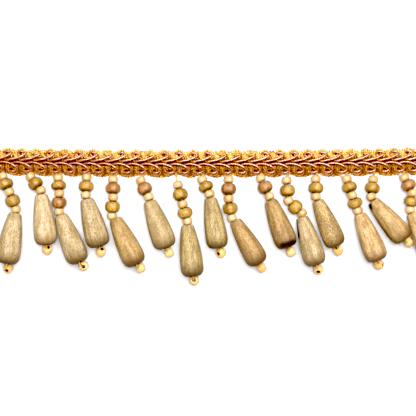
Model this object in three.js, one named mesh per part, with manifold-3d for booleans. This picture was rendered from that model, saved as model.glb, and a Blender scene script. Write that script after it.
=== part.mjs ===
// A cut length of beaded fringe trim, lying on its back on a flat surface. The heading is a gimp
// braid: a thin band of gold yarn with two rows of looped rose cord plaited over it, which meet
// along the middle as chevrons. Strings of turned wooden beads hang from its lower edge, long and
// short by turns. Each ends in a drop-shaped pendant, held by a small stop bead.
// Millimetres, +Z up, X along the heading, the strings towards -Y. The origin is on the heading's
// back face, at the middle of its length.
import * as THREE from "three";
import { mergeVertices } from "three/addons/utils/BufferGeometryUtils.js";
import Module from "manifold-3d";

const wasm = await Module();
wasm.setup();

const UP = new THREE.Vector3(0, 0, 1);
const CLEARANCE = 0.3;

// The heading: one string in each half inch, and two chevrons to a string.
const STRING_PITCH = 12.7;
const STRING_COUNT = 15;
const CHEVRONS_PER_STRING = 2;
const HEADING_LENGTH = STRING_PITCH * STRING_COUNT;
const CHEVRON_PITCH = STRING_PITCH / CHEVRONS_PER_STRING;
const CHEVRON_COUNT = STRING_COUNT * CHEVRONS_PER_STRING;
const HEADING_BOW = 1.1; // how far the ends lie above the middle
const BAND_THICKNESS = 1.3;
const BAND_TOP_EDGE = 4.8;
const PICOT_HEIGHT = 1.1;
const PICOT_SHIFT = -1.3; // where the first picot starts, from the heading's left end
const NOTCH_EDGE = 4.6; // the lower edge where a string leaves it
const NOTCH_HALF_WIDTH = 2.4;
const SWAG_DEPTH = 1.7; // how far the edge hangs below that between two strings
const SWAG_FULLNESS = 0.7; // below 1, a swag is fuller than half a wave

// The rose cord of the heading. It lies in two levels, so that it passes over itself.
const CORD_WIDTH = 0.8;
const CORD_HEIGHT = 0.5;
const CORD_LOW = BAND_THICKNESS + CLEARANCE + CORD_HEIGHT / 2;
const CORD_HIGH = CORD_LOW + CORD_HEIGHT + CLEARANCE;
const CORD_STEPS_PER_LOOP = 9;

// One loop of each row of the cord. It runs out along the chevron on the high level, curls round
// its eye and comes back on the low one. along: from the loop's start. out: from the heading's
// middle line. rise: the share of the way from the low level to the high one.
const UPPER_LOOP = [
  { along: 0.0, out: 0.4, rise: 0.3 },
  { along: 2.4, out: 0.85, rise: 1.0 },
  { along: 4.9, out: 1.4, rise: 1.0 },
  { along: 7.2, out: 2.35, rise: 1.0 },
  { along: 8.3, out: 3.2, rise: 0.6 },
  { along: 7.9, out: 4.0, rise: 0.2 },
  { along: 6.4, out: 4.3, rise: 0.0 },
  { along: 5.1, out: 3.9, rise: 0.0 },
  { along: 4.8, out: 2.6, rise: 0.0 },
];
const LOWER_LOOP = [
  { along: 0.0, out: 0.95, rise: 0.3 },
  { along: 2.4, out: 0.5, rise: 1.0 },
  { along: 5.1, out: 0.97, rise: 1.0 },
  { along: 7.1, out: 1.95, rise: 1.0 },
  { along: 8.3, out: 3.3, rise: 0.6 },
  { along: 7.5, out: 4.2, rise: 0.2 },
  { along: 6.2, out: 4.5, rise: 0.0 },
  { along: 4.7, out: 4.1, rise: 0.0 },
  { along: 4.2, out: 2.7, rise: 0.0 },
];
const UPPER_LOOP_START = 1.45; // of the first whole loop, from the heading's left end
const LOWER_LOOP_START = 4.2;

// The wooden beads, each turned round its bore.
const THREAD_RADIUS = 0.35;
const BORE_RADIUS = 0.9;
const BORE_MOUTH_DEPTH = 0.4;
const SMALL_RADIUS = 2.1;
const SMALL_HALF_HEIGHT = 1.6;
const SMALL_FACE = 0.45; // its end face's radius, as a share of its own
const SMALL_SHOULDER = 0.4; // where it is widest, as a share of its half height
const LARGE_RADIUS = 3.12;
const LARGE_SHOULDER = { radius: 0.9, along: 0.6 }; // the same, of a large bead's rounding
const LARGE_MOUTH_RADIUS = 1.65;
const LARGE_TO_SMALL = 1.72; // from a large bead's end face to the middle of a small bead
const PENDANT_TO_SMALL = 1.95;
const STOP_RADIUS = 2.05;
const BEND_PAST_PENDANT = 0.5; // where the thread turns down to the stop bead

// A pendant's outline, as shares of its greatest radius and of its length, from its upper end.
const PENDANT_MOUTH = 0.32;
const PENDANT_OUTLINE = [
  { radius: PENDANT_MOUTH, along: 0.0 },
  { radius: 0.48, along: 0.0 },
  { radius: 0.56, along: 0.022 },
  { radius: 0.84, along: 0.36 },
  { radius: 1.0, along: 0.77 },
  { radius: 0.96, along: 0.89 },
  { radius: 0.7, along: 0.975 },
  { radius: PENDANT_MOUTH, along: 1.0 },
];

// The strings: heights of the turning points above the surface. The large beads and pendants rest
// on it and lift the small beads between them.
const ROOT_HEIGHT = BAND_THICKNESS / 2;
const ROOT_STITCH_RADIUS = 0.6;
const ROOT_STITCH_LENGTH = 0.7;
const ROOT_SHIFT = 0.4; // the share of a string's shift that its root has
const NOTCH_SHIFT = 0.75; // and that the notch over it has
const SMALL_HEIGHTS = [2.45, 3.8, 2.5];

// One row for each string, from the left, in millimetres and degrees.
// shift, fall: where its first small bead lies, right of its place on the heading and below the
// middle line. steps, leans: from one small bead to the next, and how far that leans to the right
// of straight down. woods: the stain of the large bead on each step. aside, lean: the pendant's
// axis, right of the last small bead, and how it leans. length, radius: the pendant's own size.
// beyond, over: where the stop bead lies, past the pendant's end and right of its axis.
const COLUMNS = [
  "shift", "fall", "steps", "leans", "woods", "aside", "lean", "length", "radius", "beyond", "over",
];
const STRINGS = [
  [0.0, 7.1, [7.5, 8.2], [26, 19], ["olive", "olive"], -0.1, -7.4, 22.5, 5.25, 2.1, 0.0],
  [-0.3, 6.9, [7.7], [38], ["olive"], 0.0, 6.4, 22.2, 5.00, 2.15, -0.3],
  [-0.8, 7.2, [6.9, 8.0], [6, -2], ["honey", "rose"], 0.1, 22.5, 22.6, 5.10, 2.1, 0.7],
  [-0.9, 6.9, [7.8], [-2], ["honey"], 0.0, 15.4, 21.6, 5.30, 2.4, -0.3],
  [-1.9, 7.6, [7.9, 8.2], [1, -4], ["rose", "honey"], 0.7, 25.7, 22.5, 5.20, 2.1, 0.7],
  [-2.4, 8.0, [8.1], [27], ["rose"], -0.3, 20.0, 21.9, 5.20, 2.2, 0.2],
  [1.4, 9.8, [8.8, 7.8], [14, 15], ["olive", "honey"], -0.2, 6.6, 22.7, 5.10, 2.1, 0.2],
  [-0.6, 7.5, [7.1], [28], ["olive"], 0.0, 8.8, 22.3, 4.85, 2.2, 1.0],
  [-1.6, 7.4, [8.5, 8.6], [0, 10], ["rose", "olive"], 0.5, 29.5, 21.8, 4.90, 2.1, 0.1],
  [-0.1, 6.9, [8.9], [25], ["rose"], -0.3, 20.8, 22.0, 5.05, 2.3, 0.5],
  [-1.3, 8.0, [9.0, 8.2], [4, 49], ["olive", "honey"], -0.6, 16.0, 22.0, 5.00, 2.2, 0.6],
  [-1.1, 7.6, [7.8], [-1], ["honey"], 0.0, 22.8, 21.6, 4.80, 2.1, 0.0],
  [-0.1, 7.7, [7.5, 7.3], [16, 23], ["olive", "honey"], 0.0, 21.0, 21.9, 5.05, 2.1, 0.1],
  [-1.1, 8.1, [7.7], [-8], ["olive"], -0.8, 39.6, 22.0, 5.00, 2.15, 0.9],
  [0.0, 7.5, [7.6, 7.4], [26, -7], ["rose", "olive"], 0.1, 23.5, 22.3, 5.00, 2.1, 0.0],
].map((row) => Object.fromEntries(row.map((value, column) => [COLUMNS[column], value])));

const MATERIALS = {
  gold: new THREE.MeshStandardMaterial({ color: 0xd9a345, roughness: 0.8, metalness: 0 }),
  cord: new THREE.MeshStandardMaterial({ color: 0xb9744a, roughness: 0.4, metalness: 0 }),
  natural: new THREE.MeshStandardMaterial({ color: 0xf0c98c, roughness: 0.55, metalness: 0 }),
  olive: new THREE.MeshStandardMaterial({ color: 0x9a8347, roughness: 0.5, metalness: 0 }),
  honey: new THREE.MeshStandardMaterial({ color: 0xb8924c, roughness: 0.5, metalness: 0 }),
  rose: new THREE.MeshStandardMaterial({ color: 0xb37a58, roughness: 0.5, metalness: 0 }),
  pendant: new THREE.MeshStandardMaterial({ color: 0xb39a6b, roughness: 0.7, metalness: 0 }),
};

const trim = new THREE.Group();

function addPart(name, geometry, material) {
  const mesh = new THREE.Mesh(geometry, material);
  mesh.name = name;
  trim.add(mesh);
}

// The height in the plan of the heading's middle line, which bows a little.
function middleLine(x) {
  return HEADING_BOW * (x / (HEADING_LENGTH / 2)) ** 2;
}

// A string's place along the heading.
function stringPlace(index) {
  return (index - (STRING_COUNT - 1) / 2) * STRING_PITCH;
}

// The geometry with each corner in it once, so that its faces share their corners. It is done
// before a shape is moved to its place, where its corners are still exact.
function welded(geometry) {
  geometry.deleteAttribute("normal");
  geometry.deleteAttribute("uv");
  const merged = mergeVertices(geometry, 1e-4);
  const corners = [];
  for (let at = 0; at < merged.index.count; at += 3) {
    const [a, b, c] = merged.index.array.slice(at, at + 3);
    if (a !== b && b !== c && c !== a) corners.push(a, b, c);
  }
  return merged.setIndex(corners);
}

function solidOf(geometry) {
  return new wasm.Manifold(
    new wasm.Mesh({
      numProp: 3,
      vertProperties: geometry.attributes.position.array,
      triVerts: new Uint32Array(geometry.index.array),
    }),
  );
}

function joined(first, second) {
  const mesh = solidOf(first).add(solidOf(second)).getMesh();
  const geometry = new THREE.BufferGeometry();
  geometry.setAttribute("position", new THREE.BufferAttribute(mesh.vertProperties, 3));
  return geometry.setIndex(new THREE.BufferAttribute(mesh.triVerts, 1));
}

// The frame of a shape that was turned round the Y axis, with its axis along a direction.
function frameAlong(direction, across = new THREE.Vector3().crossVectors(direction, UP)) {
  const over = new THREE.Vector3().crossVectors(across, direction).normalize();
  const side = new THREE.Vector3().crossVectors(direction, over);
  return new THREE.Matrix4().makeBasis(side, direction, over);
}

function turned(profile, sides) {
  const points = profile.map(([radius, along]) => new THREE.Vector2(radius, along));
  return welded(new THREE.LatheGeometry(points, sides));
}

// The radius that a faceted bore needs for its flats to clear a round of the bore's own radius.
function boreRadius(sides) {
  return BORE_RADIUS / Math.cos(Math.PI / sides);
}

function pendantGeometry(length, radius) {
  const sides = 12;
  const outline = PENDANT_OUTLINE.map((point) => [point.radius * radius, point.along * length]);
  const bore = [
    [boreRadius(sides), length - BORE_MOUTH_DEPTH],
    [boreRadius(sides), BORE_MOUTH_DEPTH],
  ];
  return turned([...bore, ...outline, bore[0]], sides);
}

function largeBeadGeometry(length) {
  const sides = 10;
  const half = length / 2;
  const innerEnd = [boreRadius(sides), BORE_MOUTH_DEPTH - half];
  const shoulder = [LARGE_RADIUS * LARGE_SHOULDER.radius, half * LARGE_SHOULDER.along];
  const profile = [
    innerEnd,
    [LARGE_MOUTH_RADIUS, -half],
    [shoulder[0], -shoulder[1]],
    [LARGE_RADIUS, 0],
    shoulder,
    [LARGE_MOUTH_RADIUS, half],
    [boreRadius(sides), half - BORE_MOUTH_DEPTH],
    innerEnd,
  ];
  return turned(profile, sides);
}

// A small bead's outline: [radius, distance from its middle along the bore].
function smallBeadOutline(radius) {
  const face = radius * SMALL_FACE;
  const shoulder = SMALL_HALF_HEIGHT * SMALL_SHOULDER;
  return [
    [face, -SMALL_HALF_HEIGHT],
    [radius, -shoulder],
    [radius, shoulder],
    [face, SMALL_HALF_HEIGHT],
  ];
}

// A turned shape whose axis isn't straight: each ring of it has a radius, a place and the
// direction of its axis there. It is turned on a straight axis first and then bent.
function bentTurning(rings, across, sides) {
  const profile = rings.map(({ radius }, ring) => [radius, ring]);
  const geometry = turned(profile, sides);
  const position = geometry.getAttribute("position");
  const corner = new THREE.Vector3();
  for (let index = 0; index < position.count; index++) {
    corner.fromBufferAttribute(position, index);
    const ring = rings[Math.round(corner.y)];
    corner.setY(0).applyMatrix4(frameAlong(ring.direction, across)).add(ring.place);
    position.setXYZ(index, corner.x, corner.y, corner.z);
  }
  return geometry;
}

function directionBetween(from, to) {
  return new THREE.Vector3().subVectors(to, from).normalize();
}

// The direction in the plan that leans this far to the right of straight down.
function leaning(degrees) {
  const angle = THREE.MathUtils.degToRad(degrees);
  return new THREE.Vector3(Math.sin(angle), -Math.cos(angle), 0);
}

// How steeply a pendant's axis climbs from the last small bead, for it to rest on the surface.
function restingClimb(row, startHeight) {
  const climbs = PENDANT_OUTLINE.map((point) => {
    const radius = point.radius * row.radius;
    const reach = PENDANT_TO_SMALL + point.along * row.length;
    const fall = Math.min(1, startHeight / Math.hypot(radius, reach));
    return Math.atan2(radius, reach) - Math.asin(fall);
  });
  return Math.max(...climbs);
}

// The turning points of one string, from its root on the heading to its stop bead.
function stringRoute(row, index) {
  const rootX = stringPlace(index) + row.shift * ROOT_SHIFT;
  const rootY = middleLine(rootX) - NOTCH_EDGE - CLEARANCE;
  const root = new THREE.Vector3(rootX, rootY, ROOT_HEIGHT);
  const firstX = stringPlace(index) + row.shift;
  const smalls = [
    new THREE.Vector3(firstX, middleLine(firstX) - row.fall, SMALL_HEIGHTS[0]),
  ];
  row.steps.forEach((step, link) => {
    const next = smalls[link].clone().addScaledVector(leaning(row.leans[link]), step);
    smalls.push(next.setZ(SMALL_HEIGHTS[link + 1]));
  });
  const last = smalls[smalls.length - 1];
  const plan = leaning(row.lean);
  const toRight = new THREE.Vector3().crossVectors(UP, plan);
  const climb = restingClimb(row, last.z);
  const axis = plan.clone().multiplyScalar(Math.cos(climb)).addScaledVector(UP, Math.sin(climb));
  const top = last.clone().addScaledVector(axis, PENDANT_TO_SMALL).addScaledVector(toRight, row.aside);
  const mouth = top.clone().addScaledVector(axis, row.length);
  const stop = mouth.clone().addScaledVector(plan, row.beyond).addScaledVector(toRight, row.over);
  return { root, smalls, axis, top, mouth, stop: stop.setZ(STOP_RADIUS) };
}

// The thread with the small beads that it holds still, as one solid.
function threadGeometry({ root, smalls, axis, top, mouth, stop }) {
  const away = leaning(0);
  const stitchEnd = root.clone().addScaledVector(away, ROOT_STITCH_LENGTH);
  const rings = [
    { radius: 0, place: root, direction: away },
    { radius: ROOT_STITCH_RADIUS, place: root, direction: away },
    { radius: THREAD_RADIUS, place: stitchEnd, direction: away },
  ];
  const threadRing = (place, direction, along) =>
    rings.push({
      radius: THREAD_RADIUS,
      place: place.clone().addScaledVector(direction, along),
      direction,
    });
  smalls.forEach((place, number) => {
    const next = number + 1 < smalls.length ? directionBetween(place, smalls[number + 1]) : axis;
    const before = number > 0 ? directionBetween(smalls[number - 1], place) : next;
    const direction = before.clone().add(next).normalize();
    threadRing(place, before.clone().add(direction).normalize(), -SMALL_HALF_HEIGHT);
    for (const [radius, along] of smallBeadOutline(SMALL_RADIUS))
      rings.push({ radius, place: place.clone().addScaledVector(direction, along), direction });
    threadRing(place, next.clone().add(direction).normalize(), SMALL_HALF_HEIGHT);
  });
  const bendPlace = mouth.clone().addScaledVector(axis, BEND_PAST_PENDANT);
  const last = directionBetween(bendPlace, stop);
  const bend = axis.clone().add(last).normalize();
  rings.push(
    { radius: THREAD_RADIUS, place: top, direction: axis },
    { radius: THREAD_RADIUS, place: bendPlace, direction: bend },
    { radius: THREAD_RADIUS, place: stop, direction: last },
    { radius: 0, place: stop, direction: last },
  );
  const sides = 8;
  const across = new THREE.Vector3().crossVectors(axis, UP).normalize();
  const thread = bentTurning(rings, across, sides);
  const profile = smallBeadOutline(STOP_RADIUS);
  const ends = [profile[0], profile[profile.length - 1]].map((end) => [0, end[1]]);
  const stopBead = turned([ends[0], ...profile, ends[1]], sides);
  const turn = frameAlong(across).setPosition(stop);
  return joined(thread, stopBead.applyMatrix4(turn));
}

function addString(row, index) {
  const name = "string_" + String(index + 1).padStart(2, "0");
  const route = stringRoute(row, index);
  addPart(name + "_thread_and_small_beads", threadGeometry(route), MATERIALS.natural);
  row.woods.forEach((wood, link) => {
    const [from, to] = [route.smalls[link], route.smalls[link + 1]];
    const bead = largeBeadGeometry(from.distanceTo(to) - 2 * LARGE_TO_SMALL);
    const place = new THREE.Vector3().addVectors(from, to).multiplyScalar(0.5);
    bead.applyMatrix4(frameAlong(directionBetween(from, to)).setPosition(place));
    addPart(name + "_large_bead_" + (link + 1), bead, MATERIALS[wood]);
  });
  const pendant = pendantGeometry(row.length, row.radius);
  pendant.applyMatrix4(frameAlong(route.axis).setPosition(route.top));
  addPart(name + "_pendant", pendant, MATERIALS.pendant);
}

function bandGeometry() {
  const half = HEADING_LENGTH / 2;
  const outline = [];
  const point = (x, y) => outline.push(new THREE.Vector2(x, y + middleLine(x)));

  // The upper edge, from right to left, has a picot over each chevron.
  const picotSteps = 3;
  for (let step = CHEVRON_COUNT * picotSteps + 1; step >= 0; step--) {
    const unclipped = PICOT_SHIFT - half + (step * CHEVRON_PITCH) / picotSteps;
    const x = THREE.MathUtils.clamp(unclipped, -half, half);
    const phase = ((x + half - PICOT_SHIFT) / CHEVRON_PITCH) % 1;
    point(x, BAND_TOP_EDGE + PICOT_HEIGHT * Math.sin(Math.PI * phase));
  }
  // The lower edge, from left to right, hangs in a swag between two strings.
  const swagSteps = 4;
  const notches = STRINGS.map((row, index) => stringPlace(index) + row.shift * NOTCH_SHIFT);
  const starts = [-half, ...notches.map((x) => x + NOTCH_HALF_WIDTH)];
  const ends = [...notches.map((x) => x - NOTCH_HALF_WIDTH), half];
  starts.forEach((start, swag) => {
    for (let step = 0; step <= swagSteps; step++) {
      const share = step / swagSteps;
      const x = start + (ends[swag] - start) * share;
      point(x, -NOTCH_EDGE - SWAG_DEPTH * Math.sin(Math.PI * share) ** SWAG_FULLNESS);
    }
  });
  const shape = new THREE.Shape(outline);
  return new THREE.ExtrudeGeometry(shape, { depth: BAND_THICKNESS, bevelEnabled: false });
}

// A curve whose section keeps the same edge up all the way.
class LevelCurve extends THREE.CatmullRomCurve3 {
  computeFrenetFrames(segments) {
    const frames = { tangents: [], normals: [], binormals: [] };
    for (let segment = 0; segment <= segments; segment++) {
      const tangent = this.getTangentAt(segment / segments);
      const normal = new THREE.Vector3().crossVectors(UP, tangent).normalize();
      frames.tangents.push(tangent);
      frames.normals.push(normal);
      frames.binormals.push(new THREE.Vector3().crossVectors(tangent, normal));
    }
    return frames;
  }
}

// One row of looped cord. Points that would lie past an end of the heading are left out, as where
// the trim is cut.
function cordRowGeometry(loop, side, firstStart) {
  const reach = HEADING_LENGTH / 2 - CORD_WIDTH;
  const points = [];
  for (let count = -1; count <= CHEVRON_COUNT; count++)
    for (const { along, out, rise } of loop) {
      const x = firstStart - HEADING_LENGTH / 2 + count * CHEVRON_PITCH + along;
      const z = CORD_LOW + (CORD_HIGH - CORD_LOW) * rise;
      if (Math.abs(x) < reach) points.push(new THREE.Vector3(x, middleLine(x) + side * out, z));
    }
  const section = new THREE.Shape([
    new THREE.Vector2(-CORD_WIDTH / 2, -CORD_HEIGHT / 2),
    new THREE.Vector2(CORD_WIDTH / 2, -CORD_HEIGHT / 2),
    new THREE.Vector2(0, CORD_HEIGHT / 2),
  ]);
  return new THREE.ExtrudeGeometry(section, {
    steps: Math.round((points.length * CORD_STEPS_PER_LOOP) / loop.length),
    extrudePath: new LevelCurve(points),
    bevelEnabled: false,
  });
}

addPart("heading_band", bandGeometry(), MATERIALS.gold);
addPart("heading_cord_upper", cordRowGeometry(UPPER_LOOP, 1, UPPER_LOOP_START), MATERIALS.cord);
addPart("heading_cord_lower", cordRowGeometry(LOWER_LOOP, -1, LOWER_LOOP_START), MATERIALS.cord);
STRINGS.forEach(addString);

export default trim;
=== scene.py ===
"""Dresses a cut length of beaded fringe trim: gimp braid, looped cord and strings of wooden beads.

Sizes are in millimetres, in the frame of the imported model: X along the heading, the strings
towards -Y and +Z up. They become metres when a piece is finished.
"""

import logging
import math
import random
from dataclasses import dataclass, field
from enum import Enum

import bmesh
import bpy
from bmesh.types import BMesh
from mathutils import Matrix, Vector
from mathutils.geometry import interpolate_bezier, intersect_point_line


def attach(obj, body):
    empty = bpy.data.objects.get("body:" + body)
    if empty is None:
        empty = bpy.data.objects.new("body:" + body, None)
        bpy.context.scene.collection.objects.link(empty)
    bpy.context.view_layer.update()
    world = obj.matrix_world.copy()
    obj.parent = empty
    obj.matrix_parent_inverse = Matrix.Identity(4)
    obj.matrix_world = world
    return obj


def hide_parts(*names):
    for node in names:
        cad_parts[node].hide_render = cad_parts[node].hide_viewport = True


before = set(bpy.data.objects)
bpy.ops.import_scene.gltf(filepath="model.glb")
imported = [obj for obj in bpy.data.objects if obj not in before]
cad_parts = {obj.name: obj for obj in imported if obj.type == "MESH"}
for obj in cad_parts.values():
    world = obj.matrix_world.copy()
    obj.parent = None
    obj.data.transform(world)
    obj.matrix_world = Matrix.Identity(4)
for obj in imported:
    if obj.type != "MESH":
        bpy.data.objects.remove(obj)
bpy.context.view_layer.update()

logging.basicConfig(level=logging.INFO, format="%(message)s")
log = logging.getLogger("fringe")

MM = 0.001
SHARP_ANGLE = math.radians(50)
UP = Vector((0.0, 0.0, 1.0))
Line = list[Vector]
Pair = tuple[float, float]
STRING_PITCH = 12.7
STRING_COUNT = 15
HEADING_LENGTH = STRING_PITCH * STRING_COUNT
HALF_LENGTH = HEADING_LENGTH / 2
CHEVRON_PITCH = STRING_PITCH / 2
CHEVRON_COUNT = STRING_COUNT * 2
HEADING_BOW = 1.1


def middle_line(x: float) -> float:
    """Gives the height in the plan of the heading's middle line, which bows a little."""
    return HEADING_BOW * (x / HALF_LENGTH) ** 2


def on_braid(x: float, out: float, height: float) -> Vector:
    """Gives the place that lies this far out from the heading's middle line."""
    return Vector((x, middle_line(x) + out, height))


def string_place(index: int) -> float:
    """Gives a string's place along the heading."""
    return (index - (STRING_COUNT - 1) / 2) * STRING_PITCH


def linear(colour: str) -> tuple[float, float, float, float]:
    """Turns a colour from sRGB to linear.

    Args:
        colour: Six hex digits.

    Returns:
        Red, green and blue in linear light, and an alpha of 1.
    """
    shares = [int(colour[at : at + 2], 16) / 255 for at in (0, 2, 4)]
    red, green, blue = [s / 12.92 if s <= 0.04045 else ((s + 0.055) / 1.055) ** 2.4 for s in shares]
    return (red, green, blue, 1.0)


def add_node(
    tree: bpy.types.NodeTree,
    kind: str,
    settings: dict[str, object] | None = None,
    plugs: dict[str | int, object] | None = None,
) -> bpy.types.Node:
    """Adds a node to a material.

    Args:
        tree: The material's node tree.
        kind: The node's type, without the words that all types begin with.
        settings: The node's own properties.
        plugs: What goes into its inputs: a socket to link, or a plain value.

    Returns:
        The new node.
    """
    node = tree.nodes.new("ShaderNode" + kind)
    for name, value in (settings or {}).items():
        setattr(node, name, value)
    for name, value in (plugs or {}).items():
        if isinstance(value, bpy.types.NodeSocket):
            tree.links.new(value, node.inputs[name])
        else:
            node.inputs[name].default_value = value
    return node


def new_material(name: str) -> bpy.types.Material:
    """Makes an empty material.

    Args:
        name: Its name.

    Returns:
        The material, without any node.
    """
    made = bpy.data.materials.new(name)
    made.use_nodes = True
    made.node_tree.nodes.clear()
    return made


def layered(
    tree: bpy.types.NodeTree,
    ground: str,
    layers: list[tuple[bpy.types.NodeSocket, float, float, float, str]],
) -> bpy.types.NodeSocket:
    """Lays colours over each other, each where some value of the surface says.

    Args:
        tree: The material's node tree.
        ground: The colour under them all.
        layers: For each colour, the value that it follows, where it starts and where it is full
            on that value, the most of it that covers what lies under it, and the colour.

    Returns:
        The colour that is seen.
    """
    seen: object = linear(ground)
    for value, start, full, most, colour in layers:
        plugs = {"Value": value, "From Min": start, "From Max": full, "To Max": most}
        share = add_node(tree, "MapRange", plugs=plugs)
        plugs = {0: share.outputs[0], 6: seen, 7: linear(colour)}
        seen = add_node(tree, "Mix", {"data_type": "RGBA"}, plugs).outputs[2]
    return seen


def end_finish(
    made: bpy.types.Material,
    height: bpy.types.NodeSocket,
    strength: float,
    relief: float,
    plugs: dict[str, object],
) -> bpy.types.Material:
    """Ends a finish with its relief, its shader and its output.

    Args:
        made: The material.
        height: What its relief follows.
        strength: How much of the relief shows, from 0 to 1.
        relief: How deep it is, in mm.
        plugs: What else goes into the shader.

    Returns:
        The same material.
    """
    tree = made.node_tree
    depth = {"Height": height, "Strength": strength, "Distance": relief * MM}
    bump = add_node(tree, "Bump", plugs=depth)
    plugs = {**plugs, "Normal": bump.outputs[0]}
    shader = add_node(tree, "BsdfPrincipled", plugs=plugs)
    add_node(tree, "OutputMaterial", plugs={"Surface": shader.outputs[0]})
    return made


@dataclass(frozen=True)
class TurnedWood:
    """Wood turned on a lathe, stained and rubbed with a little wax.

    The fibres run along the bore as fine streaks, and broad patches took more or less of the
    stain. Chalky specks lie in the open grain. The lower end is darker, a painted shade, and so is
    the inside of the bore. Dark marks, painted shade along some flanks and a dark end on one
    pendant, are nearly black. It has a dull gloss, rougher in the streaks, with a thin coat of wax
    on it. The real fibres are about 0.1 mm wide. They are drawn about three times as wide, to show.
    """

    name: str
    pale: str
    body: str
    streak: str
    dust: str = ""
    fibre_width: float = 0.36
    fibre_length: float = 1.6
    patch_width: float = 1 / 0.55
    patch_length: float = 10.0
    speck_size: float = 1 / 2.6
    streak_share: float = 0.45
    dust_share: float = 0.5
    roughness: float = 0.45
    relief: float = 0.05
    # Painted shade at the lower end: how far it darkens towards the streak colour.
    painted_end_shade: float = 0.0
    wax: float = 0.04
    # The colour of the painted shade inside the bore.
    bore: str = "34180e"
    # The colour of dark specks, and of the dark marks: painted shade on some flanks, and a dark end.
    speck_and_painted_shade: str = "24160e"

    def material(self) -> bpy.types.Material:
        """Makes the material, from the grain and the marks that each bead has as attributes.

        Returns:
            The material.
        """
        made = new_material(self.name)
        tree = made.node_tree
        marks = {}
        for name in ("grain", "along", "inside", "scorch"):
            marks[name] = add_node(tree, "Attribute", {"attribute_name": name})
        noises = []
        for across, length, detail, harshness in (
            (self.fibre_width, self.fibre_length, 3.0, 0.65),
            (self.patch_width, self.patch_length, 2.0, 0.5),
            (self.speck_size, self.speck_size, 2.0, 0.5),
        ):
            plugs = {"Vector": marks["grain"].outputs["Vector"]}
            plugs["Scale"] = (1 / across, 1 / across, 1 / length)
            placed = add_node(tree, "Mapping", plugs=plugs)
            plugs = {"Vector": placed.outputs[0], "Scale": 1.0}
            plugs |= {"Detail": detail, "Roughness": harshness}
            noises.append(add_node(tree, "TexNoise", plugs=plugs).outputs[0])
        fibres, patches, specks = noises
        # Dark specks, plus the dark marks that are mostly painted shade.
        plugs = {0: marks["scorch"].outputs["Fac"], 1: specks}
        mottled = add_node(tree, "Math", {"operation": "ADD"}, plugs)
        # Each layer: what it follows, where it starts and is full, the most it covers, its colour.
        layers = [
            (patches, 0.38, 0.64, 1.0, self.pale),
            (specks, 0.52, 0.72, self.dust_share, self.dust or self.pale),
            (fibres, 0.6, 0.36, self.streak_share, self.streak),
            # Painted shade: the lower end, read along the axis, darkens towards the streak colour.
            (marks["along"].outputs["Fac"], 0.76, 1.0, self.painted_end_shade, self.streak),
            # Dark specks, and painted shade along some pendants' flanks, nearly black.
            (mottled.outputs[0], 0.85, 1.3, 1.0, self.speck_and_painted_shade),
            # Painted shade inside the bore.
            (marks["inside"].outputs["Fac"], 0.0, 1.0, 1.0, self.bore),
        ]
        plugs = {"Value": fibres, "From Min": 0.6, "From Max": 0.36}
        plugs |= {"To Min": self.roughness, "To Max": self.roughness + 0.15}
        dullness = add_node(tree, "MapRange", plugs=plugs)
        gloss = {
            "Base Color": layered(tree, self.body, layers),
            "Roughness": dullness.outputs[0],
            "Specular IOR Level": 0.38,
            "Coat Weight": self.wax,
            "Coat Roughness": 0.35,
        }
        return end_finish(made, fibres, 0.8, self.relief, gloss)


@dataclass(frozen=True)
class StainedWood(TurnedWood):
    """The large beads' wood: finer fibres, and a stronger painted shade at the lower end."""

    fibre_width: float = 0.3
    fibre_length: float = 1.2
    streak_share: float = 0.65
    roughness: float = 0.5
    painted_end_shade: float = 0.85


@dataclass(frozen=True)
class PendantWood(TurnedWood):
    """The pendants' wood: open, chalky grain, a strong painted shade at the lower end, and hardly any
    wax.
    """

    fibre_width: float = 0.28
    fibre_length: float = 1.1
    roughness: float = 0.6
    relief: float = 0.08
    painted_end_shade: float = 0.95


@dataclass(frozen=True)
class RayonYarn:
    """Yarn plied from two singles, of rayon, or of cotton for the bead thread.

    The plies show as slanting ridges, with a painted highlight on their tops and painted shade
    between them. The gimp cord also has a smooth gloss, which catches the light along its loops.
    """

    name: str
    # The crown colour is a painted highlight on the plies' tops; the hollow colour is painted shade
    # between them.
    crown_painted_light: str
    body: str
    hollow_painted_shade: str
    ply_length: float
    roughness: float
    relief: float
    gloss: float = 0.0
    shine: float = 0.2
    glint: str = "ffffff"
    fuzz_size: float = 1 / 0.9

    def material(self) -> bpy.types.Material:
        """Makes the material, from the yarn's own UV map: X round it in turns, Y along it in mm.

        Returns:
            The material.
        """
        made = new_material(self.name)
        tree = made.node_tree
        place = add_node(tree, "UVMap", {"uv_map": "yarn"})
        parts = add_node(tree, "SeparateXYZ", plugs={0: place.outputs[0]})
        around, along = parts.outputs[:2]
        plugs = {0: along, 1: math.tau / self.ply_length, 2: 0.0}
        turns = add_node(tree, "Math", {"operation": "MULTIPLY_ADD"}, plugs)
        plugs = {0: around, 1: 2 * math.tau, 2: turns.outputs[0]}
        slant = add_node(tree, "Math", {"operation": "MULTIPLY_ADD"}, plugs)
        wave = add_node(tree, "Math", {"operation": "SINE"}, {0: slant.outputs[0]})
        plugs = {"Vector": add_node(tree, "TexCoord").outputs["Object"]}
        plugs |= {"Scale": 1 / (self.fuzz_size * MM), "Detail": 3.0}
        fuzz = add_node(tree, "TexNoise", plugs=plugs)
        plugs = {0: wave.outputs[0], 1: 0.3, 2: fuzz.outputs[0]}
        ridge = add_node(tree, "Math", {"operation": "MULTIPLY_ADD"}, plugs).outputs[0]
        # Painted shade between the plies, the body colour, and a painted highlight on their tops,
        # broken by random fuzz.
        layers = [(ridge, 0.15, 0.55, 1.0, self.body), (ridge, 0.55, 0.95, 1.0, self.crown_painted_light)]
        gloss = {
            "Base Color": layered(tree, self.hollow_painted_shade, layers),
            "Roughness": self.roughness,
            "Specular IOR Level": self.shine,
            "Specular Tint": linear(self.glint),
            "Coat Weight": self.gloss,
            "Coat Roughness": 0.15,
            "Coat IOR": 1.6,
        }
        return end_finish(made, ridge, 0.7, self.relief, gloss)


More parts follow.
